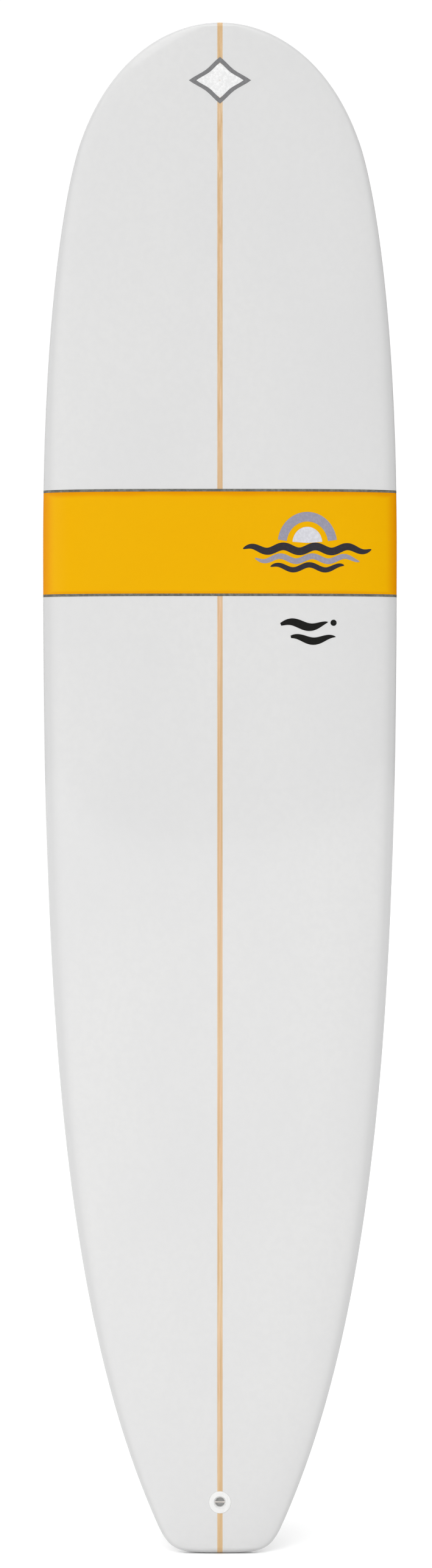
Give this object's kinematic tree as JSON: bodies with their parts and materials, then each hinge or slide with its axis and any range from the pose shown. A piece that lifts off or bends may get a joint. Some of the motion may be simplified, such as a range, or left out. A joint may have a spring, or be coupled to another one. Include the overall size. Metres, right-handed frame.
{
  "type": "longboard surfboard",
  "caption": "Round-nosed longboard surfboard with a squash tail, wooden stringer, yellow deck band, dark pinlines, leash plug, box-mounted centre fin and plug-in side fins.",
  "frame": {"origin": "middle of the tail's end, where the board stands when it is held upright", "axes": "+Z from the tail to the nose, -Y out of the deck, +Y out of the bottom on the fins' side, X across the board"},
  "size_m": [0.5978, 0.2562, 2.5622],
  "materials": {
    "white_glass": "gloss",
    "yellow_glass": "gloss",
    "dark_resin": "gloss",
    "foam": "matte",
    "wood": "satin",
    "cup_plastic": "gloss",
    "fin_box_plastic": "satin",
    "plug_plastic": "satin",
    "fin_plastic": "gloss",
    "stainless": "satin",
    "brass": "satin"
  },
  "bodies": {
    "board": {"foam_left": "foam", "foam_right": "foam", "stringer": "wood", "deck_skin_nose": "white_glass", "deck_band": "yellow_glass", "deck_skin_tail": "white_glass", "pinline_front": "dark_resin", "pinline_rear": "dark_resin", "bottom_skin": "white_glass", "leash_cup": "cup_plastic", "leash_bar": "stainless", "centre_fin_box": "fin_box_plastic", "left_front_plug": "plug_plastic", "left_rear_plug": "plug_plastic", "right_front_plug": "plug_plastic", "right_rear_plug": "plug_plastic"},
    "centre_fin": {"centre_fin": "fin_plastic", "centre_fin_pin": "brass"},
    "centre_fin_screw": {"centre_fin_screw": "stainless"},
    "centre_fin_plate": {"centre_fin_plate": "stainless"},
    "side_fin_left": {"side_fin_left": "fin_plastic"},
    "side_fin_right": {"side_fin_right": "fin_plastic"},
    "left_front_grub_screw": {"left_front_grub_screw": "stainless"},
    "left_rear_grub_screw": {"left_rear_grub_screw": "stainless"},
    "right_front_grub_screw": {"right_front_grub_screw": "stainless"},
    "right_rear_grub_screw": {"right_rear_grub_screw": "stainless"}
  },
  "joints": [
    {"name": "centre_fin_slide", "type": "slide", "parent": "board", "child": "centre_fin", "axis": [0, 0.1055, 0.9944], "range_m": [-0.024, 0.024]},
    {"name": "centre_fin_screw_turn", "type": "hinge", "parent": "centre_fin", "child": "centre_fin_screw", "pos_m": [0, 0.05168, 0.34653], "axis": [0, 0.9944, -0.1055], "range_deg": [0, 720]},
    {"name": "centre_fin_plate_travel", "type": "slide", "parent": "centre_fin", "child": "centre_fin_plate", "axis": [0, 0.9944, -0.1055], "range_m": [-0.0014, 0]},
    {"name": "side_fin_left_pull", "type": "slide", "parent": "board", "child": "side_fin_left", "axis": [-0.0955, 0.9903, -0.101], "range_m": [0, 0.013]},
    {"name": "side_fin_right_pull", "type": "slide", "parent": "board", "child": "side_fin_right", "axis": [0.0955, 0.9903, -0.101], "range_m": [0, 0.013]},
    {"name": "left_front_grub_turn", "type": "hinge", "parent": "board", "child": "left_front_grub_screw", "pos_m": [-0.15064, 0.05479, 0.4004], "axis": [0.3338, 0.9358, -0.1136], "range_deg": [0, 720]},
    {"name": "left_rear_grub_turn", "type": "hinge", "parent": "board", "child": "left_rear_grub_screw", "pos_m": [-0.15285, 0.0493, 0.34874], "axis": [0.3338, 0.9358, -0.1136], "range_deg": [0, 720]},
    {"name": "right_front_grub_turn", "type": "hinge", "parent": "board", "child": "right_front_grub_screw", "pos_m": [0.15064, 0.05479, 0.4004], "axis": [-0.3338, 0.9358, -0.1136], "range_deg": [0, 720]},
    {"name": "right_rear_grub_turn", "type": "hinge", "parent": "board", "child": "right_rear_grub_screw", "pos_m": [0.15285, 0.0493, 0.34874], "axis": [-0.3338, 0.9358, -0.1136], "range_deg": [0, 720]}
  ],
  "couplings": [
    {"joint": "centre_fin_screw_turn", "follows": "centre_fin_plate_travel", "rad_per_m": -8976}
  ]
}
